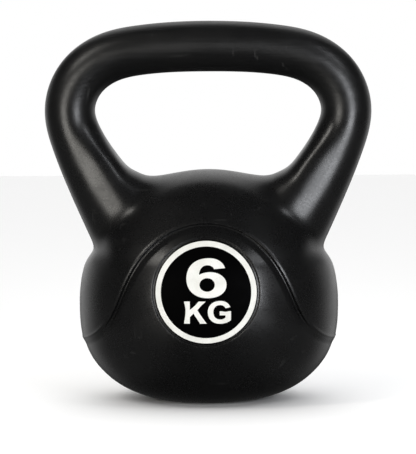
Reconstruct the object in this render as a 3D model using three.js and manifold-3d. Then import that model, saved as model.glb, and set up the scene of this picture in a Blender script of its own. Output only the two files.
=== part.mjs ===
// A 6 kg kettlebell of the filled plastic kind. One blow-moulded shell is the round body and the
// hollow handle together. A cast mass of iron-sand concrete fills it, poured in through a hole in
// the base that a push-in plug closes. A round printed label lies in a shallow seat on the front,
// and another on the back. Millimetres, +Z up, the front faces -Y, the foot stands on z = 0.

import * as THREE from 'three';
import { mergeVertices } from 'three/addons/utils/BufferGeometryUtils.js';
import Module from 'manifold-3d';

const wasm = await Module();
wasm.setup();

// ---- Driving dimensions ----

const HEIGHT = 242.2;            // floor to the top of the grip
const BODY_HALF_WIDTH = 83;      // at the widest height, over the shoulder skirt
const BODY_HALF_DEPTH = 72.5;
const BODY_WAIST_Z = 62.4;       // height of the widest section
const CROWN_RISE = 85;           // from the widest section up to the crown
const CROWN_POWER = 2.04;        // superellipse power: above 2 the crown is flatter than an ellipse
const FOOT_DROP = 65.9;          // from the widest section down to where the bowl would close
const FOOT_POWER = 2.6;
const CROWN_SHALLOWER = 0.14;    // the crown is this much shallower front to back than the belly,
const CROWN_TAPER_Z = [88, 128]; // and it changes between these heights
const STEP = 1.6;                // the shoulder skirt stands this far proud of the front panel
const WALL = 3;                  // moulded wall thickness
const FIT_GAP = 0.3;             // clearance between touching pieces

const GRIP_RADIUS = 16.2;
const GRIP_AXIS_Z = HEIGHT - GRIP_RADIUS;

// Stations of the handle's centre line, from the middle of the grip to the root of an arm:
// x, z, the section's radius in the handle's plane, and its radius front to back. The section is
// round at the grip and squarer at the roots, where this superellipse power is added to 2.
const ROOT_SQUARENESS = 0.5;
const ROOT_Z = [178, 138];
const ARM_STATIONS = [
  [0, GRIP_AXIS_Z, GRIP_RADIUS, GRIP_RADIUS],
  [43.7, 223.6, 15.9, 15.9],
  [61.5, 219.7, 16, 16],
  [80.7, 206.4, 16.2, 16.2],
  [88.5, 184.6, 16.2, 16.2],
  [83.9, 166.5, 16.8, 16.8],
  [63.3, 128.3, 21.5, 22],
  [46, 98, 24.4, 31],
];

// The skirt's lower edge seen from the front: a bell that arches over the label and flares out
// to the sides. Points x, z from the middle of the arch to past the body's side.
const SKIRT_EDGE = [
  [0, 116.8],
  [25, 110],
  [41.3, 95.7],
  [54.5, 71.7],
  [61.5, 56.5],
  [75.5, 42.5],
  [95, 36],
];

const LABEL_Z = 74.5;            // height of the label's centre
const LABEL_RADIUS = 31.8;
const LABEL_THICKNESS = 0.5;
const LABEL_SEAT_RADIUS = 33.9;
const LABEL_SEAT_DEPTH = 1;

const BASE_RECESS_HALF_WIDTH = 22;
const BASE_RECESS_HALF_DEPTH = 19;
const BASE_RECESS_DEPTH = 2.2;
const FILLER_HOLE_RADIUS = 13;
const PLUG_FLANGE_RADIUS = 16.5;
const PLUG_FLANGE_THICKNESS = 1.2;
const PLUG_BARB_RADIUS = 13.6;
const PLUG_BORE_RADIUS = 9.5;
const PLUG_WEB = 1.6;            // the closed end of the cup-shaped plug
const PLUG_TOP_Z = 10.5;
const PLUG_POCKET_RADIUS = 15.5; // hollow left in the fill above the plug
const PLUG_POCKET_TOP_Z = 12;

// How finely the round shapes are divided: coarse is for the surfaces inside the shell.
const FINE = { around: 64, rise: 12, drop: 10, ring: 24, sweep: 52 };
const COARSE = { around: 40, rise: 8, drop: 6, ring: 16, sweep: 36 };
const DISC_SIDES = 60;
const ARCH_STEPS = 26;

const REACH = 120;               // further than any part of the body from its axis

// ---- Solids and geometries ----

// A closed three.js geometry as a manifold solid.
function solid(geometry) {
  geometry.deleteAttribute('normal');
  geometry.deleteAttribute('uv');
  const merged = mergeVertices(geometry, 1e-4);
  return new wasm.Manifold(new wasm.Mesh({
    numProp: 3,
    vertProperties: new Float32Array(merged.attributes.position.array),
    triVerts: new Uint32Array(merged.index.array),
  }));
}

// A manifold solid as a three.js geometry.
function geometryOf(manifold) {
  const mesh = manifold.getMesh();
  const geometry = new THREE.BufferGeometry();
  geometry.setAttribute('position', new THREE.BufferAttribute(mesh.vertProperties, 3));
  geometry.setIndex(new THREE.BufferAttribute(mesh.triVerts, 1));
  return geometry;
}

// A solid of revolution about +Z, from a profile of [radius, z] points listed upwards.
function turned(profile, sides) {
  const points = profile.map(([radius, z]) => new THREE.Vector2(radius, z));
  return new THREE.LatheGeometry(points, sides).rotateX(Math.PI / 2);
}

// One quarter of a superellipse of radii a and b, as [across, up] points from its side to its pole.
function quarter(a, b, power, steps) {
  const points = [];
  for (let i = 0; i <= steps; i += 1) {
    const angle = (i / steps) * (Math.PI / 2);
    const across = a * Math.cos(angle) ** (2 / power);
    const up = b * Math.sin(angle) ** (2 / power);
    points.push([i === steps ? 0 : across, up]);
  }
  return points;
}

// 0 before one end of a span, 1 after the other, and an even curve between.
function easeOver(value, [from, to]) {
  return THREE.MathUtils.smoothstep((value - from) / (to - from), 0, 1);
}

// ---- The shell's shapes ----

// The body's round form, drawn in by an inset all over and cut flat at floorZ.
function bodySolid(inset, floorZ, mesh) {
  const halfWidth = BODY_HALF_WIDTH - inset;
  const halfDepth = BODY_HALF_DEPTH - inset;
  const drop = FOOT_DROP - inset;
  const floorDrop = BODY_WAIST_Z - floorZ;
  const footRadius = halfWidth * (1 - (floorDrop / drop) ** FOOT_POWER) ** (1 / FOOT_POWER);
  const bowl = quarter(halfWidth, drop, FOOT_POWER, mesh.drop)
    .filter(([, fall]) => fall < floorDrop - 1)
    .map(([radius, fall]) => [radius, BODY_WAIST_Z - fall])
    .reverse();
  const crown = quarter(halfWidth, CROWN_RISE - inset, CROWN_POWER, mesh.rise)
    .map(([radius, rise]) => [radius, BODY_WAIST_Z + rise]);
  const profile = [[0, floorZ], [footRadius, floorZ], ...bowl, ...crown.slice(1)];
  const body = turned(profile, mesh.around).scale(1, halfDepth / halfWidth, 1);
  const position = body.attributes.position;
  for (let i = 0; i < position.count; i += 1) {
    const share = 1 - CROWN_SHALLOWER * easeOver(position.getZ(i), CROWN_TAPER_Z);
    position.setY(i, position.getY(i) * share);
  }
  return solid(body);
}

// The handle's whole centre line, from one arm's root over the grip to the other.
const rightHalf = ARM_STATIONS.slice(1);
const leftHalf = [...rightHalf].reverse().map(([x, ...rest]) => [-x, ...rest]);
const stations = [...leftHalf, ARM_STATIONS[0], ...rightHalf];
const centreLine = new THREE.CatmullRomCurve3(
  stations.map(([x, z]) => new THREE.Vector3(x, 0, z)), false, 'catmullrom');
const sectionRadii = new THREE.CatmullRomCurve3(
  stations.map(([, , inPlane, frontToBack]) => new THREE.Vector3(inPlane, frontToBack, 0)),
  false, 'catmullrom');

// The handle, drawn in by an inset: a thin round rod swept along the centre line, whose
// rings are then swelled to the section at their own station.
function handleSolid(inset, mesh) {
  const circle = new THREE.Shape();
  for (let i = 0; i < mesh.ring; i += 1) {
    const angle = (i / mesh.ring) * 2 * Math.PI;
    const [across, up] = [Math.cos(angle), Math.sin(angle)];
    if (i === 0) circle.moveTo(across, up);
    else circle.lineTo(across, up);
  }
  const rod = new THREE.ExtrudeGeometry(circle, {
    steps: mesh.sweep, bevelEnabled: false, extrudePath: centreLine,
  });
  const centres = centreLine.getSpacedPoints(mesh.sweep);
  const position = rod.attributes.position;
  const point = new THREE.Vector3();
  for (let i = 0; i < position.count; i += 1) {
    point.fromBufferAttribute(position, i);
    let ring = 0;
    for (let k = 1; k <= mesh.sweep; k += 1) {
      if (point.distanceToSquared(centres[k]) < point.distanceToSquared(centres[ring])) ring = k;
    }
    const section = sectionRadii.getPoint(centreLine.getUtoTmapping(ring / mesh.sweep));
    const centre = centres[ring];
    const offset = point.clone().sub(centre);
    const power = 2 + ROOT_SQUARENESS * easeOver(centre.z, ROOT_Z);
    const frontBack = Math.abs(offset.y) ** power;
    const inPlane = Math.max(1 - offset.y * offset.y, 0) ** (power / 2);
    offset.divideScalar((frontBack + inPlane) ** (1 / power));
    position.setXYZ(
      i,
      centre.x + offset.x * (section.x - inset),
      centre.y + offset.y * (section.y - inset),
      centre.z + offset.z * (section.x - inset),
    );
  }
  return solid(rod);
}

// Everything above the skirt's edge, through the whole depth of the body.
function aboveSkirtEdge() {
  const right = SKIRT_EDGE.slice(1);
  const left = [...right].reverse().map(([x, z]) => [-x, z]);
  const edge = new THREE.CatmullRomCurve3(
    [...left, SKIRT_EDGE[0], ...right].map(([x, z]) => new THREE.Vector3(x, z, 0)),
    false, 'catmullrom');
  const outline = new THREE.Shape();
  outline.moveTo(-REACH, SKIRT_EDGE.at(-1)[1]);
  for (const point of edge.getPoints(ARCH_STEPS)) outline.lineTo(point.x, point.y);
  outline.lineTo(REACH, SKIRT_EDGE.at(-1)[1]);
  outline.lineTo(REACH, HEIGHT);
  outline.lineTo(-REACH, HEIGHT);
  const prism = new THREE.ExtrudeGeometry(outline, { depth: 2 * REACH, bevelEnabled: false });
  return solid(prism.rotateX(Math.PI / 2).translate(0, REACH, 0));
}

// A round bar through the body's front (side -1) or back (side +1), on the label's centre.
function labelBar(radius, side) {
  const bar = new THREE.CylinderGeometry(radius, radius, REACH, DISC_SIDES);
  return solid(bar.translate(0, side * REACH / 2, 0).translate(0, 0, LABEL_Z));
}

const panelSolid = bodySolid(STEP, 0, FINE);
const seatFloor = bodySolid(STEP + LABEL_SEAT_DEPTH, 0, FINE);

// A label: the skin between two insets of the panel, trimmed round.
function label(side) {
  const back = STEP + LABEL_SEAT_DEPTH - FIT_GAP;
  const skin = bodySolid(back - LABEL_THICKNESS, 0, FINE).subtract(bodySolid(back, 0, FINE));
  return geometryOf(skin.intersect(labelBar(LABEL_RADIUS, side)));
}

// The shell: panel body, skirt and handle joined, less the label seats, the base recess, the
// filler hole and the inside.
function shell() {
  const skirt = bodySolid(0, 0, FINE).intersect(aboveSkirtEdge());
  let form = panelSolid.add(skirt).add(handleSolid(0, FINE));
  for (const side of [-1, 1]) {
    form = form.subtract(labelBar(LABEL_SEAT_RADIUS, side).subtract(seatFloor));
  }
  const recess = new THREE.CylinderGeometry(1, 1, 2 * BASE_RECESS_DEPTH, DISC_SIDES)
    .rotateX(Math.PI / 2)
    .scale(BASE_RECESS_HALF_WIDTH, BASE_RECESS_HALF_DEPTH, 1);
  const hole = new THREE.CylinderGeometry(
    FILLER_HOLE_RADIUS, FILLER_HOLE_RADIUS, PLUG_POCKET_TOP_Z, DISC_SIDES).rotateX(Math.PI / 2);
  const cavity = bodySolid(STEP + WALL, BASE_RECESS_DEPTH + WALL, COARSE)
    .add(handleSolid(WALL, COARSE));
  return geometryOf(form.subtract(cavity).subtract(solid(recess)).subtract(solid(hole)));
}

// The cast fill: the inside of the shell, drawn in by the fit gap, with a hollow over the plug.
function ballast() {
  const inset = WALL + FIT_GAP;
  const fill = bodySolid(STEP + inset, BASE_RECESS_DEPTH + inset, COARSE)
    .add(handleSolid(inset, COARSE));
  const pocket = new THREE.CylinderGeometry(
    PLUG_POCKET_RADIUS, PLUG_POCKET_RADIUS, 2 * PLUG_POCKET_TOP_Z, DISC_SIDES);
  return geometryOf(fill.subtract(solid(pocket.rotateX(Math.PI / 2))));
}

// The filler plug: a moulded cup with a flange under the base and a barb inside the wall.
function fillerPlug() {
  const flangeTop = BASE_RECESS_DEPTH - FIT_GAP;
  const flangeBottom = flangeTop - PLUG_FLANGE_THICKNESS;
  const shank = FILLER_HOLE_RADIUS - FIT_GAP;
  const barbZ = BASE_RECESS_DEPTH + WALL + FIT_GAP;
  const profile = [
    [0, PLUG_TOP_Z - PLUG_WEB],
    [PLUG_BORE_RADIUS, PLUG_TOP_Z - PLUG_WEB],
    [PLUG_BORE_RADIUS, flangeBottom],
    [PLUG_FLANGE_RADIUS, flangeBottom],
    [PLUG_FLANGE_RADIUS, flangeTop],
    [shank, flangeTop],
    [shank, barbZ],
    [PLUG_BARB_RADIUS, barbZ],
    [shank - 1, PLUG_TOP_Z],
    [0, PLUG_TOP_Z],
  ];
  return geometryOf(solid(turned(profile, DISC_SIDES)));
}

// ---- Pieces ----

const kettlebell = new THREE.Group();

function piece(name, geometry, color, roughness, metalness) {
  const material = new THREE.MeshStandardMaterial({ color, roughness, metalness });
  const mesh = new THREE.Mesh(geometry, material);
  mesh.name = name;
  kettlebell.add(mesh);
}

piece('shell', shell(), 0x161616, 0.42, 0);
piece('ballast', ballast(), 0x6b6660, 0.95, 0);
piece('filler_plug', fillerPlug(), 0x1b1b1c, 0.5, 0);
piece('front_label', label(-1), 0x060606, 0.35, 0);
piece('back_label', label(1), 0x060606, 0.35, 0);

export default kettlebell;
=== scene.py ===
# A 6 kg filled plastic kettlebell: the looks of its shell, labels, plug and fill.
import math
import bmesh
import bpy
import numpy as np
from mathutils import Matrix, Vector
from mathutils.geometry import delaunay_2d_cdt


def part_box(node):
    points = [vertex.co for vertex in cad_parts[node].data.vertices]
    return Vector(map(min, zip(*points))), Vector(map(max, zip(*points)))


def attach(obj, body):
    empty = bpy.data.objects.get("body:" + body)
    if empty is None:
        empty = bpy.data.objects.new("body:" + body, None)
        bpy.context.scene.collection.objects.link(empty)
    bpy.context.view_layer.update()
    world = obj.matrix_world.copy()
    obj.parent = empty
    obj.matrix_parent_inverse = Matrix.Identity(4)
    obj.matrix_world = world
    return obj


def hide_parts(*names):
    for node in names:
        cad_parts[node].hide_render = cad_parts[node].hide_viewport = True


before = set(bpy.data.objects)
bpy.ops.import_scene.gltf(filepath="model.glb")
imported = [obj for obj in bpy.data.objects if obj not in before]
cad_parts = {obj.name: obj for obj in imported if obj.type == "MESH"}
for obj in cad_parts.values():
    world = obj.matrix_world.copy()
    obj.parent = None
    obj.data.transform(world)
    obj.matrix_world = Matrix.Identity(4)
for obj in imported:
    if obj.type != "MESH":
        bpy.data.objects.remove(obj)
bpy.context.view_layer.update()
MM = 0.001


# ==== Shell =========================================================================================
# The shell is one blow-moulded plastic skin: round body, splayed arms and hollow grip together.
# A shoulder skirt stands a step proud of the front and back panels and arches over each label.
# Its mould closed on the plane of the handle, which leaves a fine trimmed line all round.

shell_low, shell_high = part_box("shell")
HEIGHT = shell_high.z / MM
WAIST_Z = 62.4             # height of the widest section, mm
HALF_WIDTH = 83.0          # there, over the skirt
HALF_DEPTH = 72.5
CROWN_RISE = 85.0
CROWN_POWER = 2.04         # superellipse powers of the crown and the bowl
FOOT_DROP = 65.9
FOOT_POWER = 2.6
SKIRT_STEP = 1.6           # the skirt stands this far proud of the panel
GRIP_RADIUS = 16.15
GRIP_DROP = 16.2           # from the shell's top down to the middle of the grip

# The handle's centre line from mid-grip to arm root: x, z, radius in its plane, radius front to back.
ARM_STATIONS = [
    (0, HEIGHT - GRIP_DROP, GRIP_RADIUS, GRIP_RADIUS),
    (43.7, 223.6, 15.9, 15.9),
    (61.5, 219.7, 16.0, 16.0),
    (80.7, 206.4, 16.1, 16.1),
    (88.4, 184.6, 16.1, 16.1),
    (83.8, 166.5, 16.8, 17.4),
    (63.3, 128.3, 21.5, 24.6),
    (46.0, 98.0, 24.4, 33.0),
]

# The skirt's lower edge, x and z from the middle of its arch out past the body's side.
SKIRT_EDGE = [(0, 116.8), (25, 110), (41.3, 95.7), (54.5, 71.7), (61.5, 56.5), (75.5, 42.5), (95, 36)]

label_low, label_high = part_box("front_label")
LABEL_Z = (label_low.z + label_high.z) / 2 / MM
LABEL_RADIUS = (label_high.x - label_low.x) / 2 / MM
SEAT_RADIUS = LABEL_RADIUS + 1.3
SEAT_DEPTH = 1.0
BASE_RECESS = (22.0, 19.0, 2.2)      # half width, half depth, height
FILLER_WELL = (13.0, 11.5)           # radius, top


def smooth_step(value, start, end):
    t = np.clip((value - start) / (end - start), 0, 1)
    return t * t * (3 - 2 * t)


def smooth_min(a, b, reach):
    h = np.maximum(reach - np.abs(a - b), 0) / reach
    return np.minimum(a, b) - h ** 3 * reach / 6


def smooth_max(a, b, reach):
    return -smooth_min(-a, -b, reach)


def even_curve(stations):
    """A curve without kinks through stations and their mirror images about x = 0. Returns its length
    from the middle, and a function that gives place, direction and bend at a length along it."""
    points = np.array(stations, float)
    flip = np.ones(points.shape[1])
    flip[0] = -1
    points = np.vstack([points[:0:-1] * flip, points])
    along = np.append(0, np.cumsum(np.hypot(*np.diff(points[:, :2], axis=0).T)))
    along -= along[len(along) // 2]
    gap = np.diff(along)
    rise = np.diff(points, axis=0) / gap[:, None]
    system = np.eye(len(points))
    change = np.zeros_like(points)
    for i in range(1, len(points) - 1):
        system[i, i - 1:i + 2] = gap[i - 1], 2 * (gap[i - 1] + gap[i]), gap[i]
        change[i] = 6 * (rise[i] - rise[i - 1])
    bends = np.linalg.solve(system, change)

    def follow(s):
        k = np.clip(np.searchsorted(along, s, side="right") - 1, 0, len(gap) - 1)
        g = gap[k][:, None]
        b = ((s - along[k]) / gap[k])[:, None]
        a = 1 - b
        bulge = (a ** 3 - a) * bends[k] + (b ** 3 - b) * bends[k + 1]
        place = a * points[k] + b * points[k + 1] + bulge * g * g / 6
        run = rise[k] + ((3 * b * b - 1) * bends[k + 1] - (3 * a * a - 1) * bends[k]) * g / 6
        return place, run, a * bends[k] + b * bends[k + 1]

    return along[-1], follow


def nearest_along(curve, x, z):
    """The length along a curve that lies nearest each place."""
    length, follow = curve
    best, nearest = np.full(x.shape, 1e9), np.zeros(x.shape)
    for s in np.linspace(0, length, 48):
        x0, z0 = follow(np.array([s]))[0][0, :2]
        square = (x - x0) ** 2 + (z - z0) ** 2
        nearest = np.where(square < best, s, nearest)
        best = np.minimum(square, best)
    for _ in range(3):
        place, run, bend = follow(nearest)
        off_x, off_z = x - place[:, 0], z - place[:, 1]
        lead = off_x * run[:, 0] + off_z * run[:, 1]
        turn = (run[:, :2] ** 2).sum(1) - off_x * bend[:, 0] - off_z * bend[:, 1]
        nearest = np.clip(nearest + lead / np.maximum(turn, 0.3), 0, length)
    return nearest


ARM_CURVE = even_curve(ARM_STATIONS)
SKIRT_CURVE = even_curve(SKIRT_EDGE)
SKIRT_LINE = SKIRT_CURVE[1](np.linspace(0, SKIRT_CURVE[0], 80))[0]


def skirt_distance(x, z):
    """How far a point lies inside the skirt's arch seen from the front: negative is on the skirt."""
    side = np.abs(x)
    place = SKIRT_CURVE[1](nearest_along(SKIRT_CURVE, side, z))[0]
    nearest = np.hypot(side - place[:, 0], z - place[:, 1])
    below = z < np.interp(side, SKIRT_LINE[:, 0], SKIRT_LINE[:, 1])
    return np.where(below, nearest, -nearest)


# The lip in section, from the skirt to the panel: how far inside the edge, and how deep. Two narrow
# bevels with a steep face between them, then a channel that rises back to the panel.
LIP_INSIDE = (-0.8, 0.8, 1.5, 2.5, 5.7)
LIP_DEPTH = (0, 0.46, 2.1, 2.55, SKIRT_STEP)
LIP_SOFTNESS = 0.25                  # its corners are rounded over this much to either side
BEAD_HEIGHT, BEAD_WIDTH, BEAD_OUTSIDE = 0.3, 0.8, 0.6    # a soft bead just outside the edge
LIP_FADES_FROM, LIP_GONE_AT = 62, 46                     # heights: below them is only a soft step
SEAT_RIM = 0.6                                           # half the width of the label seat's wall
HOLLOW_DEPTH, HOLLOW_Z, HOLLOW_TALL = 2.4, 97, 6.5       # the hollow under each arm's root
HOLLOW_FROM, HOLLOW_TO = 56, 72                          # grows between these, out to the sides


def panel_inset(x, z):
    """How far the skin lies inside the skirt's own round form at each point."""
    inside = skirt_distance(x, z)
    shifts = (-LIP_SOFTNESS, 0, LIP_SOFTNESS)
    lip = sum(np.interp(inside + shift, LIP_INSIDE, LIP_DEPTH) for shift in shifts) / len(shifts)
    bead = -BEAD_HEIGHT * np.exp(-((inside + BEAD_OUTSIDE) / BEAD_WIDTH) ** 2)
    soft_step = bead + 0.5 * SKIRT_STEP * (smooth_step(inside, 0, 5) + smooth_step(inside, 5, 30))
    crisp = smooth_step(z, LIP_GONE_AT, LIP_FADES_FROM)
    inset = crisp * lip + (1 - crisp) * soft_step
    seat = smooth_step(np.hypot(x, z - LABEL_Z), SEAT_RADIUS + SEAT_RIM, SEAT_RADIUS - SEAT_RIM)
    hollow = HOLLOW_DEPTH * np.exp(-((z - HOLLOW_Z) / HOLLOW_TALL) ** 2)
    return inset + SEAT_DEPTH * seat + hollow * smooth_step(np.abs(x), HOLLOW_FROM, HOLLOW_TO)


CROWN_SHALLOWER = 0.14                   # the share of the depth that the crown loses
SHALLOWER_FROM, SHALLOWER_TO = 88, 128   # between these heights


def depth_share(z):
    """The crown is a little shallower front to back than the belly."""
    return 1 - CROWN_SHALLOWER * smooth_step(z, SHALLOWER_FROM, SHALLOWER_TO)


def body_distance(x, y, z, inset):
    """Distance to the body's round form, drawn in by inset."""
    across, deep = HALF_WIDTH - inset, (HALF_DEPTH - inset) * depth_share(z)
    around = np.sqrt(x * x + (y * across / deep) ** 2) + 1e-9
    rise = z - WAIST_Z
    crown = rise > 0
    tall = np.where(crown, CROWN_RISE, FOOT_DROP) - inset
    power = np.where(crown, CROWN_POWER, FOOT_POWER)
    u, w = around / across, np.abs(rise) / tall + 1e-9
    form = (u ** power + w ** power) ** (1 / power)
    slope_u = (u / form) ** (power - 1) / across * np.hypot(x, y * (across / deep) ** 2) / around
    slope_w = (w / form) ** (power - 1) / tall
    return (form - 1) / np.hypot(slope_u, slope_w)


# How much deeper each arm grows towards the opening: a share, gained from one height down to another.
ARM_LEANS = ((0.10, 178, 154), (0.05, 138, 112))
ARM_SQUARER, ARM_SQUARER_INSIDE = 0.45, 0.45    # added to the power of its section, all round and inside
SQUARER_FROM, SQUARER_TO = 180, 150


def handle_distance(x, y, z):
    """Distance to the handle: an oval tube that swells towards its roots, where it is also squarer and
    its faces lean outwards, deeper on the side of the opening."""
    side = np.abs(x)
    place, run, _ = ARM_CURVE[1](nearest_along(ARM_CURVE, side, z))
    off_x, off_z = side - place[:, 0], z - place[:, 1]
    out = np.hypot(off_x, off_z) + 1e-6
    outward = (run[:, 0] * off_z - run[:, 1] * off_x) / np.hypot(run[:, 0], run[:, 1])
    radius = place[:, 2]
    lean = sum(share * smooth_step(z, start, end) for share, start, end in ARM_LEANS)
    depth = place[:, 3] * (1 - lean * np.clip(outward / radius, -1.2, 1.2))
    inner_half = smooth_step(outward / radius, 0.2, -0.4)
    squareness = ARM_SQUARER + ARM_SQUARER_INSIDE * inner_half
    power = 2 + squareness * smooth_step(z, SQUARER_FROM, SQUARER_TO)
    u, v = out / radius, np.abs(y) / depth + 1e-6
    form = (u ** power + v ** power) ** (1 / power)
    slope = np.hypot((u / form) ** (power - 1) / radius, (v / form) ** (power - 1) / depth)
    return (form - 1) / slope


# The fillet between arm and crown, by where it is: at the shoulder, more up the arm's root, more on the
# front and back, and most where the opening meets the crown.
SHOULDER_FILLET, ROOT_FILLET, FRONT_FILLET, OPENING_FILLET = 4, 18, 3, 15
ROOT_FROM, ROOT_TO = 104, 146
SOLE_EDGE, RECESS_EDGE, WELL_EDGE = 1.2, 0.8, 0.5    # how far each edge of the base is rounded


def shell_distance(x, y, z):
    """Distance to the shell's outer skin in mm, negative inside it."""
    in_opening = smooth_step(z, 126, ROOT_TO) * smooth_step(np.abs(x), 62, 44)
    front = smooth_step(np.abs(y), 6, 36)
    up_root = smooth_step(z, ROOT_FROM, ROOT_TO) * (1 - 0.8 * front)
    fillet = SHOULDER_FILLET + ROOT_FILLET * up_root + FRONT_FILLET * front + OPENING_FILLET * in_opening
    skin = smooth_min(body_distance(x, y, z, panel_inset(x, z)), handle_distance(x, y, z), fillet)
    skin = smooth_max(skin, -z, SOLE_EDGE)
    wide, deep, high = BASE_RECESS
    oval = (np.hypot(x / wide, y / deep) - 1) * deep
    skin = smooth_max(skin, -smooth_max(oval, z - high, RECESS_EDGE), RECESS_EDGE)
    well_radius, well_top = FILLER_WELL
    well = np.maximum(np.hypot(x, y) - well_radius, z - well_top)
    return smooth_max(skin, -well, WELL_EDGE)


PROBE = 0.03               # the step that measures a form's slope
LEAST_SLOPE_SQUARE = 0.5   # holds a move back where the form is nearly level


def press_onto(distance, points, passes):
    """Move points along the form's slope until they lie on its surface."""
    for _ in range(passes):
        here = distance(*points.T)
        slope = np.array([distance(*(points + shift).T) - here for shift in np.eye(3) * PROBE]).T / PROBE
        steepness = np.maximum((slope ** 2).sum(1, keepdims=True), LEAST_SLOPE_SQUARE)
        points = points - here[:, None] * slope / steepness
    return points


def normals_of(distance, points, reach):
    """The unit outward normal at each point, evened out over a reach to either side."""
    slope = [distance(*(points + shift).T) - distance(*(points - shift).T) for shift in np.eye(3) * reach]
    slope = np.array(slope).T
    return slope / np.maximum(np.linalg.norm(slope, axis=1, keepdims=True), 1e-9)


def net_over(distance, low, high, cell):
    """A net of four-sided faces over a distance form: a point in each grid cell that the surface
    crosses, and a face round each grid edge that it crosses."""
    axes = [np.arange(a, b + cell, cell) for a, b in zip(low, high)]
    grid = np.stack(np.meshgrid(*axes, indexing="ij"), -1)
    form = distance(*grid.reshape(-1, 3).T).reshape(grid.shape[:3])
    solid = form < 0
    counts = sum(solid[i:i - 1 or None, j:j - 1 or None, k:k - 1 or None].astype(int)
                 for i in (0, 1) for j in (0, 1) for k in (0, 1))
    crossed = (counts > 0) & (counts < 8)
    cells = np.argwhere(crossed)
    number = np.full(crossed.shape, -1)
    number[crossed] = np.arange(len(cells))
    faces = []
    for axis in range(3):
        u, v = (axis + 1) % 3, (axis + 2) % 3
        ahead = np.roll(solid, -1, axis)
        edge = np.argwhere(solid != ahead)
        edge = edge[(edge[:, axis] < form.shape[axis] - 1) & (edge[:, u] > 0) & (edge[:, v] > 0)]
        corners = []
        for du, dv in ((1, 1), (0, 1), (0, 0), (1, 0)):
            corner = edge.copy()
            corner[:, u] -= du
            corner[:, v] -= dv
            corners.append(number[tuple(corner.T)])
        quads = np.stack(corners, 1)
        empty_first = ~solid[tuple(edge.T)]
        quads[empty_first] = quads[empty_first][:, ::-1]
        faces.append(quads)
    return (cells + 0.5) * cell + np.array(low), np.vstack(faces)


def relax(points, faces, share):
    """Draw each point towards the middle of its neighbours, to even out the net."""
    total, count = np.zeros_like(points), np.zeros(len(points))
    for a, b in ((0, 1), (1, 2), (2, 3), (3, 0)):
        for i, j in ((faces[:, a], faces[:, b]), (faces[:, b], faces[:, a])):
            np.add.at(total, i, points[j])
            np.add.at(count, i, 1)
    return points + share * (total / count[:, None] - points)


CELL = 3.6                 # mm
NORMAL_REACH = 0.15
# whole cells each way, with a cell's middle on each plane of symmetry
reach_x, reach_y = 30.5 * CELL, 21.5 * CELL
points, quads = net_over(shell_distance, (-reach_x, -reach_y, -1.5 * CELL),
                         (reach_x, reach_y, HEIGHT + 2 * CELL), CELL)
EVENING_ROUNDS, EVENING_SHARE = 3, 0.6
for _ in range(EVENING_ROUNDS):
    points = press_onto(shell_distance, relax(points, quads, EVENING_SHARE), 1)
points = press_onto(shell_distance, points, 2)

shell_mesh = bpy.data.meshes.new("shell_skin")
shell_mesh.from_pydata(points.tolist(), [], quads.tolist())
bm = bmesh.new()
bm.from_mesh(shell_mesh)


def near_detail(at, spare):
    """Points near a moulded detail that needs a finer net, with a spare width round it. The base and
    the line where the mould closed need only the first, wider round."""
    x, y, z = at.T
    inside, from_axis = skirt_distance(x, z), np.hypot(x, y)
    lip = (inside > LIP_INSIDE[0] - spare) & (inside < 3.6 + 2 * spare) & (np.abs(y) > 12) & (z < 122)
    seat = (np.abs(np.hypot(x, z - LABEL_Z) - SEAT_RADIUS) < 0.9 + spare) & (np.abs(y) > 30)
    base = (z < 3.5) & (from_axis < 34) | (from_axis < 20) & (z < 30)
    mould_plane = np.abs(y) < 0.9
    return lip | seat | (base | mould_plane) & (spare > 1)


def split_and_press(edges):
    """Halve these edges, press every point onto the form again, and return where the points lie."""
    bmesh.ops.subdivide_edges(bm, edges=edges, cuts=1, use_grid_fill=True)
    bm.verts.ensure_lookup_table()
    at = press_onto(shell_distance, np.array([v.co[:] for v in bm.verts]), 2)
    for vertex, co in zip(bm.verts, at.tolist()):
        vertex.co = co
    return at


at = split_and_press(bm.edges[:])
for spare in (2.5, 0.4):
    fine = near_detail(at, spare)
    at = split_and_press([e for e in bm.edges if fine[e.verts[0].index] and fine[e.verts[1].index]])
bm.to_mesh(shell_mesh)
bm.free()
shell_mesh.update()
shell_mesh.shade_smooth()
at = np.empty(len(shell_mesh.vertices) * 3)
shell_mesh.vertices.foreach_get("co", at)
normals = normals_of(shell_distance, at.reshape(-1, 3), NORMAL_REACH)
shell_mesh.normals_split_custom_set_from_vertices(normals.tolist())
shell_mesh.transform(Matrix.Scale(MM, 4))
shell = bpy.data.objects.new("moulded_shell", shell_mesh)
bpy.context.scene.collection.objects.link(shell)


def add_node(tree, kind, inputs=(), **settings):
    """Add a node of a kind, set its properties, and link or fill its inputs by name or number."""
    node = tree.nodes.new(kind)
    for name, value in settings.items():
        setattr(node, name, value)
    for socket, value in dict(inputs).items():
        if isinstance(value, bpy.types.NodeSocket):
            tree.links.new(value, node.inputs[socket])
        else:
            node.inputs[socket].default_value = value
    return node


def spread(tree, value, low, high, to_low=0.0, to_high=1.0):
    """Map a value from one span to another, held at the ends."""
    inputs = {"Value": value, "From Min": low, "From Max": high, "To Min": to_low, "To Max": to_high}
    return add_node(tree, "ShaderNodeMapRange", inputs, interpolation_type="SMOOTHSTEP").outputs["Result"]


def maths(tree, operation, *values):
    """The result of one sum on sockets or plain numbers."""
    return add_node(tree, "ShaderNodeMath", dict(enumerate(values)), operation=operation).outputs[0]


def sum_of(tree, a, b):
    return maths(tree, "ADD", a, b)


def product_of(tree, a, b):
    return maths(tree, "MULTIPLY", a, b)


def blend(tree, share, first, second):
    """A colour between two, each given as a socket or as red, green and blue."""
    first, second = (c if isinstance(c, bpy.types.NodeSocket) else (*c, 1) for c in (first, second))
    inputs = {"Factor": share, "A": first, "B": second}
    return add_node(tree, "ShaderNodeMix", inputs, data_type="RGBA").outputs["Result"]


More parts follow.
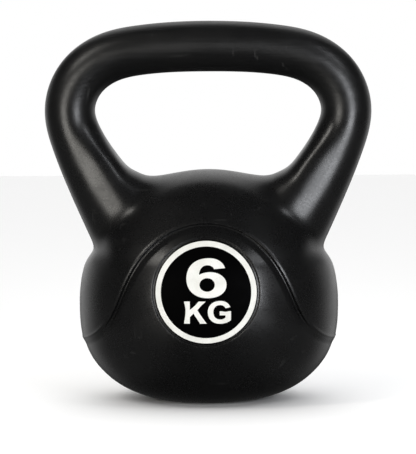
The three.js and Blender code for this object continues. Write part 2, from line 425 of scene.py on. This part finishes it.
def raise_surface(tree, shader, height, distance, strength):
    """Bump a material's surface by a height from 0 to 1 that stands for a distance in metres."""
    bump = add_node(tree, "ShaderNodeBump", {"Height": height, "Distance": distance, "Strength": strength})
    tree.links.new(bump.outputs["Normal"], shader.inputs["Normal"])


def noise(tree, at, scale, detail=2.0, stretch=(1, 1, 1)):
    """Noise over object space, with features about 1/scale metres across."""
    mapped = add_node(tree, "ShaderNodeMapping", {"Vector": at, "Scale": stretch}).outputs["Vector"]
    inputs = {"Vector": mapped, "Scale": scale, "Detail": detail}
    return add_node(tree, "ShaderNodeTexNoise", inputs).outputs["Fac"]


def new_group(name, inputs, outputs):
    """A shader node group with named inputs, each with its usual value, and named outputs. Returns the
    group, its inputs and a function that joins a socket to a named output."""
    group = bpy.data.node_groups.new(name, "ShaderNodeTree")
    for socket, value in inputs.items():
        made = group.interface.new_socket(socket, in_out="INPUT", socket_type="NodeSocketFloat")
        made.default_value = value
    for socket in outputs:
        group.interface.new_socket(socket, in_out="OUTPUT", socket_type="NodeSocketFloat")
    arrive = group.nodes.new("NodeGroupInput").outputs
    leave = group.nodes.new("NodeGroupOutput").inputs
    return group, arrive, lambda socket, name: group.links.new(socket, leave[name])


def use_group(tree, group, **values):
    return add_node(tree, "ShaderNodeGroup", values, node_tree=group).outputs


def new_material(name, **shader_values):
    """A material whose Principled shader takes the plain values given."""
    material = bpy.data.materials.new(name)
    material.use_nodes = True
    shader = material.node_tree.nodes["Principled BSDF"]
    for socket, value in shader_values.items():
        shader.inputs[socket.replace("_", " ")].default_value = value
    return material, material.node_tree, shader


def object_space(tree):
    return add_node(tree, "ShaderNodeTexCoord").outputs["Object"]


# moulded grain: the fine blasted texture of a mould, with the soft waviness of a blown wall
mould_grain, given, give = new_group("mould_grain", {"Grain Size": 0.0011, "Grain": 1.0, "Waviness": 1.0},
                                     ("Height", "Dullness"))
at_point = object_space(mould_grain)
fineness = maths(mould_grain, "DIVIDE", 1.0, given["Grain Size"])
pits = noise(mould_grain, at_point, fineness, 3.0)
waves = noise(mould_grain, at_point, 38.0, 1.0)
height = sum_of(mould_grain, product_of(mould_grain, pits, given["Grain"]),
                product_of(mould_grain, waves, given["Waviness"]))
give(height, "Height")
give(sum_of(mould_grain, pits, noise(mould_grain, at_point, 60.0, 4.0)), "Dullness")

# handling scuffs: short fine scratches in two directions, gathered in patches
scuffs, given, give = new_group("handling_scuffs", {"Amount": 0.5}, ("Scratches",))
at_point = object_space(scuffs)
along = noise(scuffs, at_point, 260.0, 2.0, (0.12, 1.0, 1.0))
across = noise(scuffs, at_point, 300.0, 2.0, (1.0, 0.7, 0.1))
lines = maths(scuffs, "MAXIMUM", spread(scuffs, along, 0.66, 0.72), spread(scuffs, across, 0.67, 0.73))
patches = spread(scuffs, noise(scuffs, at_point, 26.0, 3.0), 0.5, 0.68)
give(product_of(scuffs, product_of(scuffs, lines, patches), given["Amount"]), "Scratches")

black_plastic, tree, shader = new_material("satin_black_plastic", Specular_IOR_Level=0.5)
at_point = object_space(tree)
position = add_node(tree, "ShaderNodeSeparateXYZ", {"Vector": at_point}).outputs
facing = add_node(tree, "ShaderNodeNewGeometry").outputs["Normal"]
facing = add_node(tree, "ShaderNodeSeparateXYZ", {"Vector": facing}).outputs
grain = use_group(tree, mould_grain, **{"Grain Size": 0.0011, "Grain": 0.6, "Waviness": 3.0})
scuffing = use_group(tree, scuffs, Amount=0.6)
# drag lines: the plastic is drawn along the grip as the mould closes on it
on_grip = spread(tree, position["Z"], 0.170, 0.200)
drag = product_of(tree, noise(tree, at_point, 420.0, 3.0, (0.035, 1.0, 1.0)), on_grip)
# the trimmed line where the two halves of the mould met
off_line = maths(tree, "ABSOLUTE", position["Y"])
mould_line = spread(tree, off_line, 0.00045, 0.00015)
# dust settles thinly on what faces up
dust = product_of(tree, spread(tree, facing["Z"], 0.55, 1.0), noise(tree, at_point, 480.0, 6.0))
dust = spread(tree, dust, 0.35, 0.9, 0.0, 0.35)

height = sum_of(tree, grain["Height"], product_of(tree, drag, 6.0))
height = sum_of(tree, height, product_of(tree, mould_line, 2.2))
height = maths(tree, "SUBTRACT", height, scuffing["Scratches"])
raise_surface(tree, shader, height, 0.00004, 0.5)
dullness = spread(tree, grain["Dullness"], 0.7, 1.3, 0.25, 0.33)
dullness = sum_of(tree, dullness, product_of(tree, scuffing["Scratches"], 0.12))
dullness = sum_of(tree, dullness, product_of(tree, drag, 0.16))
tree.links.new(sum_of(tree, dullness, product_of(tree, dust, 0.3)), shader.inputs["Roughness"])
mottle = noise(tree, at_point, 22.0, 5.0)
plain = blend(tree, mottle, (0.0022, 0.0022, 0.0023), (0.0042, 0.0042, 0.0043))
worn = blend(tree, product_of(tree, scuffing["Scratches"], 0.25), plain, (0.06, 0.06, 0.058))
dusty = blend(tree, product_of(tree, dust, 0.12), worn, (0.22, 0.21, 0.19))
tree.links.new(dusty, shader.inputs["Base Color"])
shell_mesh.materials.append(black_plastic)
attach(shell, "root")
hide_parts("shell")


# ==== Labels ========================================================================================
# Each label is a disc of black film, printed off-white with a ring, the weight and its unit, and
# stuck in the seat on the front and on the back. The film bends with the panel under it.

FILM_THICK = 0.65
GLUE_THICK = 0.1
FILM_TOP = SKIRT_STEP + SEAT_DEPTH - GLUE_THICK - FILM_THICK   # its face, inside the skirt's form
INK_THICK = 0.04
BLACK_RIM, RING_WIDTH = 0.65, 3.3
RING_OUTSIDE = LABEL_RADIUS - BLACK_RIM
RING_INSIDE = RING_OUTSIDE - RING_WIDTH


def on_panel(x, z, inset):
    """Points on the front panel, drawn in by inset, at places seen from the front."""
    rise = z - WAIST_Z
    tall = np.where(rise > 0, CROWN_RISE, FOOT_DROP) - inset
    power = np.where(rise > 0, CROWN_POWER, FOOT_POWER)
    around = (1 - np.abs(rise / tall) ** power) ** (1 / power)
    side = x / (HALF_WIDTH - inset)
    deep = (HALF_DEPTH - inset) * depth_share(z)
    return np.stack([x, -deep * np.sqrt(around ** 2 - side ** 2), z], 1)


def new_piece(name, vertices, faces, material, smooth=True):
    """A mesh object from points in mm."""
    mesh = bpy.data.meshes.new(name)
    mesh.from_pydata((np.asarray(vertices) * MM).tolist(), [], faces)
    mesh.validate()
    if smooth:
        mesh.shade_smooth()
    mesh.materials.append(material)
    piece = bpy.data.objects.new(name, mesh)
    bpy.context.scene.collection.objects.link(piece)
    return piece


def ringed_disc(rings, spokes):
    """Places and faces of a closed disc: rings of (radius, inset) from the middle of its face, over
    its edge, to the middle of its back."""
    turn = np.arange(spokes) * 2 * math.pi / spokes
    rows = [on_panel(r * np.cos(turn), LABEL_Z + r * np.sin(turn), inset) for r, inset in rings[1:-1]]
    poles = [on_panel(np.zeros(1), np.full(1, LABEL_Z), rings[i][1]) for i in (0, -1)]
    faces = []
    for i in range(spokes):
        j = (i + 1) % spokes
        faces.append((0, 1 + i, 1 + j))
        for row in range(len(rows) - 1):
            a, b = 1 + row * spokes, 1 + (row + 1) * spokes
            faces.append((a + i, b + i, b + j, a + j))
        last = 1 + (len(rows) - 1) * spokes
        faces.append((last + i, 1 + len(rows) * spokes, last + j))
    return np.vstack([poles[0], *rows, poles[1]]), faces


face_rings = [(r, FILM_TOP) for r in np.linspace(0, LABEL_RADIUS - 0.4, 22)]
edge_rings = [(LABEL_RADIUS - 0.12, FILM_TOP + 0.05), (LABEL_RADIUS, FILM_TOP + 0.2),
              (LABEL_RADIUS, FILM_TOP + FILM_THICK)]
back_rings = [(r, FILM_TOP + FILM_THICK) for r in np.linspace(LABEL_RADIUS - 2, 0, 9)]
film_points, film_faces = ringed_disc(face_rings + edge_rings + back_rings, 144)


def swing(start, first, last, end, steps=10):
    """A cubic curve from start, pulled by two points on the way, up to but not at its end."""
    t = np.linspace(0, 1, steps, endpoint=False)[:, None]
    start, first, last, end = (np.array(p, float) for p in (start, first, last, end))
    return ((1 - t) ** 3 * start + 3 * t * (1 - t) ** 2 * first + 3 * t * t * (1 - t) * last + t ** 3 * end)


def bend(start, end, leave, fullness=0.6, steps=10):
    """A quarter turn from start to end that leaves along x or along z and arrives across it."""
    (x0, z0), (x1, z1) = start, end
    first, last = ((x0 + fullness * (x1 - x0), z0), (x1, z1 + fullness * (z0 - z1)))
    if leave == "z":
        first, last = ((x0, z0 + fullness * (z1 - z0)), (x1 + fullness * (x0 - x1), z1))
    return swing(start, first, last, end, steps)


def circle(radius, steps=144, middle=(0, 0), tall=1.0):
    turn = np.arange(steps) * 2 * math.pi / steps
    return np.stack([middle[0] + radius * np.cos(turn), middle[1] + radius * tall * np.sin(turn)], 1)


# Outlines in mm from the label's centre. The six: from its upper tip round the outside, then back
# under the hook.
six = np.vstack([
    swing((11.8, 15.0), (10.4, 18.9), (6.9, 20.95), (1.8, 20.95)),
    bend((1.8, 20.95), (-12.0, 8.6), "x", 0.62),
    bend((-12.0, 8.6), (1.05, -3.15), "z", 0.6),
    bend((1.05, -3.15), (12.7, 4.95), "x", 0.6),
    bend((12.7, 4.95), (2.6, 12.6), "z", 0.57),
    swing((2.6, 12.6), (-0.6, 12.6), (-2.9, 11.7), (-4.25, 10.9)),
    swing((-4.25, 10.9), (-4.0, 14.6), (-2.1, 16.8), (0.9, 16.8)),
    swing((0.9, 16.8), (2.9, 16.8), (4.5, 15.9), (5.05, 14.4)),
    [(5.05, 14.4)],
])
six_eye = circle(4.7, 40, (0.8, 4.9), 0.88)
letter_k = np.array([
    (-13.4, -5.2), (-9.9, -5.2), (-9.9, -10.5), (-4.35, -5.2), (-0.1, -5.2), (-5.3, -10.5),
    (0.45, -18.85), (-3.6, -18.85), (-7.65, -12.6), (-9.9, -14.8), (-9.9, -18.85), (-13.4, -18.85),
])
letter_g = np.vstack([
    swing((15.0, -8.75), (14.2, -6.4), (11.9, -4.85), (8.75, -4.85)),
    bend((8.75, -4.85), (1.15, -11.8), "x"),
    bend((1.15, -11.8), (8.75, -18.95), "z"),
    swing((8.75, -18.95), (11.4, -18.95), (13.8, -18.1), (15.35, -16.75)),
    [(15.35, -16.75), (15.35, -11.25), (8.45, -11.25), (8.45, -13.75), (12.0, -13.75)],
    swing((12.0, -15.1), (11.1, -15.9), (10.1, -16.3), (8.75, -16.3)),
    bend((8.75, -16.3), (4.55, -11.8), "x"),
    bend((4.55, -11.8), (8.6, -7.4), "z"),
    swing((8.6, -7.4), (10.3, -7.4), (11.5, -8.1), (12.0, -9.4)),
    [(12.0, -9.4)],
])


INK_SPACING, INK_CLEARANCE = 1.5, 0.6    # between the points that let the ink bend, and round its edges
OFF_LEVEL = 0.07                         # keeps those points off the outlines' own level lines


def ink_mesh(outlines):
    """A thin layer of ink with these outlines, bent over the film: inside is where an odd number of
    outlines goes round a place."""
    corners = [Vector(p) for outline in outlines for p in outline]
    edges, start = [], 0
    for outline in outlines:
        count = len(outline)
        edges += [(start + i, start + (i + 1) % count) for i in range(count)]
        start += count
    spots = np.arange(-LABEL_RADIUS, LABEL_RADIUS, INK_SPACING)
    field = np.stack(np.meshgrid(spots, spots + OFF_LEVEL), -1).reshape(-1, 2)
    joined = np.vstack(outlines)
    clear = np.array([np.min(np.hypot(*(joined - p).T)) > INK_CLEARANCE for p in field])
    corners += [Vector(p) for p in field[clear & (np.hypot(*field.T) < LABEL_RADIUS)]]
    flat, _, triangles, *_ = delaunay_2d_cdt(corners, edges, [], 0, 1e-5)
    flat = np.array([v[:] for v in flat])
    middles = np.array([flat[list(t)].mean(0) for t in triangles])
    odd = np.zeros(len(middles), int)
    for outline in outlines:
        ahead = np.roll(outline, -1, 0)
        for (xa, za), (xb, zb) in zip(outline, ahead):
            level = (za > middles[:, 1]) != (zb > middles[:, 1])
            crossing = xa + (middles[:, 1] - za) * (xb - xa) / ((zb - za) or 1e-9)
            odd += level & (middles[:, 0] < crossing)
    kept = [tuple(t) for t, n in zip(triangles, odd) if n % 2]
    used = sorted({i for t in kept for i in t})
    renumber = {old: new for new, old in enumerate(used)}
    kept = [tuple(renumber[i] for i in t) for t in kept]
    flat = flat[used]
    sides = {(a, b) for t in kept for a, b in zip(t, t[1:] + t[:1])}
    rim = [(a, b) for a, b in sides if (b, a) not in sides]
    count = len(flat)
    front = on_panel(flat[:, 0], flat[:, 1] + LABEL_Z, FILM_TOP - INK_THICK)
    back = on_panel(flat[:, 0], flat[:, 1] + LABEL_Z, FILM_TOP + INK_THICK)
    faces = kept + [tuple(i + count for i in reversed(t)) for t in kept]
    faces += [(b, a, a + count, b + count) for a, b in rim]
    return np.vstack([front, back]), faces


ring = [circle(RING_OUTSIDE), circle(RING_INSIDE)]
ink_points, ink_faces = ink_mesh(ring + [six, six_eye, letter_k, letter_g])

# the film: near-black satin, with faint orange peel and hairline rubs
black_film, tree, shader = new_material("black_film", Specular_IOR_Level=0.01)
at_point = object_space(tree)
rubs = use_group(tree, scuffs, Amount=0.35)["Scratches"]
peel = noise(tree, at_point, 900.0, 1.0)
raise_surface(tree, shader, peel, 0.00001, 0.5)
dullness = spread(tree, noise(tree, at_point, 90.0, 3.0), 0.3, 0.7, 0.42, 0.5)
tree.links.new(sum_of(tree, dullness, product_of(tree, rubs, 0.2)), shader.inputs["Roughness"])
film_tone = blend(tree, product_of(tree, rubs, 0.3), (0.0007, 0.0007, 0.0008), (0.008, 0.008, 0.008))
tree.links.new(film_tone, shader.inputs["Base Color"])

# the ink: an off-white screen print with a slight mesh tooth and a few thin places
white_ink, tree, shader = new_material("white_ink", Specular_IOR_Level=0.15)
at_point = object_space(tree)
cover = spread(tree, noise(tree, at_point, 1400.0, 4.0), 0.30, 0.42)
shade_of_ink = spread(tree, noise(tree, at_point, 120.0, 4.0), 0.3, 0.7)
ink_tone = blend(tree, shade_of_ink, (0.58, 0.58, 0.545), (0.65, 0.65, 0.62))
thin_ink = blend(tree, cover, (0.55, 0.55, 0.52), ink_tone)
tree.links.new(thin_ink, shader.inputs["Base Color"])
tree.links.new(spread(tree, cover, 0, 1, 0.7, 0.52), shader.inputs["Roughness"])
tooth = noise(tree, at_point, 2200.0, 2.0)
raise_surface(tree, shader, tooth, 0.00001, 0.4)

for side, turned in (("front", 1), ("back", -1)):
    about = np.array([turned, turned, 1])
    film = new_piece(side + "_label_film", film_points * about, film_faces, black_film)
    ink = new_piece(side + "_label_print", ink_points * about, ink_faces, white_ink, smooth=False)
    for piece, slot in ((film, "label_film"), (ink, "label_print")):
        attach(piece, "root")
    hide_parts(side + "_label")


# ==== Filler plug ===================================================================================
# The plug is a soft black polyethylene cup, pushed into the filling hole under the base once the fill
# has set. Its flange stops it in the recess, a barb behind the wall holds it, and ribs stiffen it.

plug_low, plug_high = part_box("filler_plug")
FLANGE_RADIUS = (plug_high.x - plug_low.x) / 2 / MM
FLANGE_BOTTOM, PLUG_TOP = plug_low.z / MM, plug_high.z / MM
FLANGE_TOP = FLANGE_BOTTOM + 1.2
SHANK_RADIUS = FILLER_WELL[0] - 0.3
BARB_RADIUS, BARB_Z = SHANK_RADIUS + 0.9, 5.5
CUP_RADIUS, CUP_TOP = 9.5, PLUG_TOP - 1.6
CUP_RIBS, RIB_HEIGHT = 12, 0.6
PLUG_SPOKES = 16 * CUP_RIBS

# The plug in section, from the middle of the cup's closed end round to the middle of its top: radius,
# height, and how far a rib stands out there along each of them.
plug_section = [
    (0.9, CUP_TOP - 0.5, 0, 0),                 # the gate mark
    (1.2, CUP_TOP - 0.4, 0, 0),
    (1.4, CUP_TOP, 0, 0),
    (2.6, CUP_TOP, 0, 0),
    (3.2, CUP_TOP, 0, -1),
    (CUP_RADIUS - 1.2, CUP_TOP, 0, -1),
    (CUP_RADIUS - 0.5, CUP_TOP - 0.1, -0.4, -0.9),
    (CUP_RADIUS - 0.1, CUP_TOP - 0.5, -0.9, -0.4),
    (CUP_RADIUS, CUP_TOP - 1.2, -1, 0),
    (CUP_RADIUS, FLANGE_BOTTOM + 2.4, -1, 0),
    (CUP_RADIUS, FLANGE_BOTTOM + 1.4, 0, 0),
    (CUP_RADIUS, FLANGE_BOTTOM + 0.5, 0, 0),
    (CUP_RADIUS + 0.15, FLANGE_BOTTOM + 0.15, 0, 0),
    (CUP_RADIUS + 0.5, FLANGE_BOTTOM, 0, 0),
    (CUP_RADIUS + 2.6, FLANGE_BOTTOM, 0, 0),    # a ring groove in the flange
    (CUP_RADIUS + 2.75, FLANGE_BOTTOM + 0.2, 0, 0),
    (CUP_RADIUS + 3.45, FLANGE_BOTTOM + 0.2, 0, 0),
    (CUP_RADIUS + 3.6, FLANGE_BOTTOM, 0, 0),
    (FLANGE_RADIUS - 0.5, FLANGE_BOTTOM, 0, 0),
    (FLANGE_RADIUS - 0.15, FLANGE_BOTTOM + 0.15, 0, 0),
    (FLANGE_RADIUS, FLANGE_BOTTOM + 0.5, 0, 0),
    (FLANGE_RADIUS, FLANGE_TOP - 0.3, 0, 0),
    (FLANGE_RADIUS - 0.25, FLANGE_TOP, 0, 0),
    (SHANK_RADIUS + 0.4, FLANGE_TOP, 0, 0),
    (SHANK_RADIUS, FLANGE_TOP + 0.4, 0, 0),
    (SHANK_RADIUS, BARB_Z - 1.0, 0, 0),
    (BARB_RADIUS - 0.1, BARB_Z - 0.15, 0, 0),
    (BARB_RADIUS, BARB_Z, 0, 0),
    (BARB_RADIUS - 0.1, BARB_Z + 0.2, 0, 0),
    (SHANK_RADIUS - 0.8, PLUG_TOP - 0.5, 0, 0),
    (SHANK_RADIUS - 1.3, PLUG_TOP, 0, 0),
    (SHANK_RADIUS - 5, PLUG_TOP, 0, 0),
]

turn = np.arange(PLUG_SPOKES) * 2 * math.pi / PLUG_SPOKES
rib = RIB_HEIGHT * smooth_step(np.cos(CUP_RIBS * turn), 0.45, 0.95)
plug_points = [np.array([[0, 0, CUP_TOP - 0.5]])]
for radius, z, rib_out, rib_up in plug_section:
    around = radius + rib_out * rib
    plug_points.append(np.stack([around * np.cos(turn), around * np.sin(turn), z + rib_up * rib], 1))
plug_points.append(np.array([[0, 0, PLUG_TOP]]))
plug_faces = []
last = 1 + (len(plug_section) - 1) * PLUG_SPOKES
for i in range(PLUG_SPOKES):
    j = (i + 1) % PLUG_SPOKES
    plug_faces.append((0, 1 + j, 1 + i))
    plug_faces.append((last + i, last + j, last + PLUG_SPOKES))
    for row in range(1, last, PLUG_SPOKES):
        plug_faces.append((row + i, row + j, row + PLUG_SPOKES + j, row + PLUG_SPOKES + i))

# soft polyethylene: duller and greyer than the shell, with turned tool marks round its axis
soft_plastic, tree, shader = new_material("soft_plug_plastic", Specular_IOR_Level=0.45)
at_point = object_space(tree)
position = add_node(tree, "ShaderNodeSeparateXYZ", {"Vector": at_point}).outputs
level = add_node(tree, "ShaderNodeVectorMath", {0: at_point, 1: (1, 1, 0)}, operation="MULTIPLY").outputs[0]
from_axis = add_node(tree, "ShaderNodeVectorMath", {0: level}, operation="LENGTH").outputs["Value"]
radial = add_node(tree, "ShaderNodeCombineXYZ", {"X": from_axis, "Z": position["Z"]}).outputs[0]
tool_marks = noise(tree, radial, 2400.0, 2.0)
grain = use_group(tree, mould_grain, **{"Grain Size": 0.0006, "Grain": 0.8, "Waviness": 1.0})
scuffing = use_group(tree, scuffs, Amount=0.9)
height = sum_of(tree, grain["Height"], product_of(tree, tool_marks, 0.6))
height = maths(tree, "SUBTRACT", height, scuffing["Scratches"])
raise_surface(tree, shader, height, 0.00006, 0.6)
dullness = spread(tree, grain["Dullness"], 0.7, 1.3, 0.42, 0.56)
tree.links.new(sum_of(tree, dullness, product_of(tree, scuffing["Scratches"], 0.15)),
               shader.inputs["Roughness"])
plain = blend(tree, noise(tree, at_point, 160.0, 4.0), (0.009, 0.009, 0.0095), (0.017, 0.017, 0.0175))
stressed = blend(tree, product_of(tree, scuffing["Scratches"], 0.4), plain, (0.13, 0.13, 0.13))
tree.links.new(stressed, shader.inputs["Base Color"])

plug = new_piece("push_in_plug", np.vstack(plug_points), plug_faces, soft_plastic)
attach(plug, "root")
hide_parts("filler_plug")


# ==== Fill ==========================================================================================
# The fill is cement mortar with iron sand, poured in through the base with the shell upside down. It
# has the shape of the shell's inside, so its CAD solid stays as it is and only its look is made here.

cast_fill, tree, shader = new_material("cast_mortar", Specular_IOR_Level=0.3)
at_point = object_space(tree)
stones = add_node(tree, "ShaderNodeTexVoronoi", {"Vector": at_point, "Scale": 420.0}).outputs
sand = noise(tree, at_point, 1600.0, 3.0)
clouds = noise(tree, at_point, 45.0, 5.0)
# round bubbles that the mould's wall held in the wet mortar: they are pits in the bump, and their hollows
# are painted darker as painted shade
bubbles = add_node(tree, "ShaderNodeTexVoronoi", {"Vector": at_point, "Scale": 150.0}).outputs["Distance"]
bubbles = spread(tree, bubbles, 0.10, 0.22)
# some of the grains are iron
which_grain = add_node(tree, "ShaderNodeSeparateXYZ", {"Vector": stones["Color"]}).outputs["X"]
iron = spread(tree, which_grain, 0.72, 0.76)
paste = blend(tree, clouds, (0.13, 0.125, 0.115), (0.24, 0.23, 0.21))
speckled = blend(tree, product_of(tree, iron, 0.8), paste, (0.035, 0.03, 0.028))
# painted shade: the bubble hollows are painted darker than the paste round them
pits_with_painted_shade = blend(tree, bubbles, (0.06, 0.057, 0.052), speckled)
tree.links.new(pits_with_painted_shade, shader.inputs["Base Color"])
tree.links.new(spread(tree, sand, 0.2, 0.8, 0.82, 0.96), shader.inputs["Roughness"])
height = sum_of(tree, product_of(tree, sand, 0.4), bubbles)
raise_surface(tree, shader, height, 0.0003, 0.8)
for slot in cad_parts["ballast"].material_slots:
    slot.material = cast_fill


# ==== Studio ========================================================================================
# A pale floor in a pale room that is brightest behind. In front stand two soft boxes on each side, one
# low and one high, and a broad soft light overhead is for the floor and the print.

floor_mesh = bpy.data.meshes.new("floor")
FLOOR_REACH = 3.0
corners = [(x * FLOOR_REACH, y * FLOOR_REACH, 0) for x, y in ((-1, -1), (1, -1), (1, 1), (-1, 1))]
floor_mesh.from_pydata(corners, [], [(0, 1, 2, 3)])
floor = bpy.data.objects.new("floor", floor_mesh)
bpy.context.scene.collection.objects.link(floor)
floor_paint, tree, shader = new_material("floor_paint", Roughness=0.9, Specular_IOR_Level=0.0)
shader.inputs["Base Color"].default_value = (0.92, 0.92, 0.92, 1)
floor_mesh.materials.append(floor_paint)
floor.visible_glossy = False

world = bpy.data.worlds.new("pale_room")
bpy.context.scene.world = world
world.use_nodes = True
tree = world.node_tree
way = add_node(tree, "ShaderNodeTexCoord").outputs["Generated"]
way = add_node(tree, "ShaderNodeSeparateXYZ", {"Vector": way}).outputs
sideways = maths(tree, "ABSOLUTE", way["X"])
# the bright wall behind, and a little light from the sides, which fade towards the floor
behind = spread(tree, way["Y"], 0.2, 0.92, 0.0, 0.88)
aside = spread(tree, sideways, 0.55, 1.0, 0.0, 0.03)
above = spread(tree, way["Z"], -0.75, 0.0, 0.04, 1.0)
# the floor close behind the object lies in its shadow
in_shadow = spread(tree, sideways, 0.6, 0.2, 0.0, 0.95)
in_shadow = product_of(tree, spread(tree, way["Z"], 0.02, -0.12), in_shadow)
above = product_of(tree, above, maths(tree, "SUBTRACT", 1.0, in_shadow))
room = product_of(tree, sum_of(tree, behind, aside), above)
# the wall's upper corners are dark
upper_corners = spread(tree, sideways, 0.3, 0.65)
upper_corners = product_of(tree, upper_corners, spread(tree, way["Z"], 0.15, 0.45))
room = product_of(tree, room, maths(tree, "SUBTRACT", 1.0, upper_corners))
# a window high up behind, which lights the crown's rim
skylight = product_of(tree, spread(tree, way["Z"], 0.4, 0.75), spread(tree, sideways, 0.5, 0.2))
skylight = product_of(tree, skylight, spread(tree, way["Y"], 0.2, 0.5, 0.0, 0.5))
room = sum_of(tree, room, skylight)
# the lit floor out to the sides, and a little light from all round
floor_glow = spread(tree, sideways, 0.35, 0.7, 0.0, 0.09)
floor_glow = product_of(tree, spread(tree, way["Z"], 0.0, -0.25), floor_glow)
room = sum_of(tree, sum_of(tree, room, floor_glow), 0.03)
seen = add_node(tree, "ShaderNodeLightPath").outputs["Is Camera Ray"]
room = add_node(tree, "ShaderNodeMix", {"Factor": seen, "A": room, "B": 1.0}).outputs["Result"]
tree.links.new(room, tree.nodes["Background"].inputs["Strength"])
tree.nodes["Background"].inputs["Color"].default_value = (1, 1, 1, 1)
bpy.context.scene.view_settings.view_transform = "Standard"


def hang(name, light, place, aim):
    """Hang a lamp at a place, turned to what it lights and out of the camera's sight."""
    lamp = bpy.data.objects.new(name, light)
    lamp.location = place
    lamp.rotation_euler = (Vector(aim) - Vector(place)).to_track_quat("-Z", "Y").to_euler()
    lamp.visible_camera = False
    bpy.context.scene.collection.objects.link(lamp)
    return lamp


def soft_box(name, azimuth, height, width, tall, brightness, colour, distance=0.9):
    """A soft box in front, at an azimuth in degrees from the front."""
    light = bpy.data.lights.new(name, "AREA")
    light.shape, light.size, light.size_y = "RECTANGLE", width, tall
    light.energy, light.color = brightness * math.pi * width * tall, colour
    turn = math.radians(azimuth)
    hang(name, light, (math.sin(turn) * distance, -math.cos(turn) * distance, height), (0, 0, 0.13))


WARM, COOL = (1.0, 0.97, 0.91), (0.94, 0.96, 1.0)
soft_box("left_box", -29, 0.23, 0.34, 0.38, 6.0, WARM)
soft_box("left_high_box", -49, 0.92, 0.24, 0.40, 8.0, WARM)
soft_box("right_box", 31, 0.23, 0.32, 0.38, 10.5, COOL)
soft_box("right_high_box", 49, 0.90, 0.22, 0.36, 5.2, COOL)

overhead = bpy.data.lights.new("overhead", "SUN")
overhead.energy = 2.6
overhead.angle = math.radians(130)
hang("overhead", overhead, (0, 0.5, 1.6), (0, 0, 0)).visible_glossy = False

camera = bpy.data.objects.new("camera", bpy.data.cameras.new("camera"))
bpy.context.scene.collection.objects.link(camera)
bpy.context.scene.camera = camera
# the camera stands a little to the right of the front and a little above, and leans a hair
AZIMUTH, ELEVATION, DISTANCE = math.radians(1.5), math.radians(4.0), 1.5
ROLL = math.radians(0.3)
aim = Vector((-0.0003, 0, 0.1102))
back = Vector((math.sin(AZIMUTH) * math.cos(ELEVATION), -math.cos(AZIMUTH) * math.cos(ELEVATION),
               math.sin(ELEVATION)))
camera.location = aim + DISTANCE * back
camera.rotation_mode = "QUATERNION"
level_view = (-back).to_track_quat("-Z", "Y")
camera.rotation_quaternion = level_view @ Matrix.Rotation(-ROLL, 3, "Z").to_quaternion()
camera.data.lens = 185.3
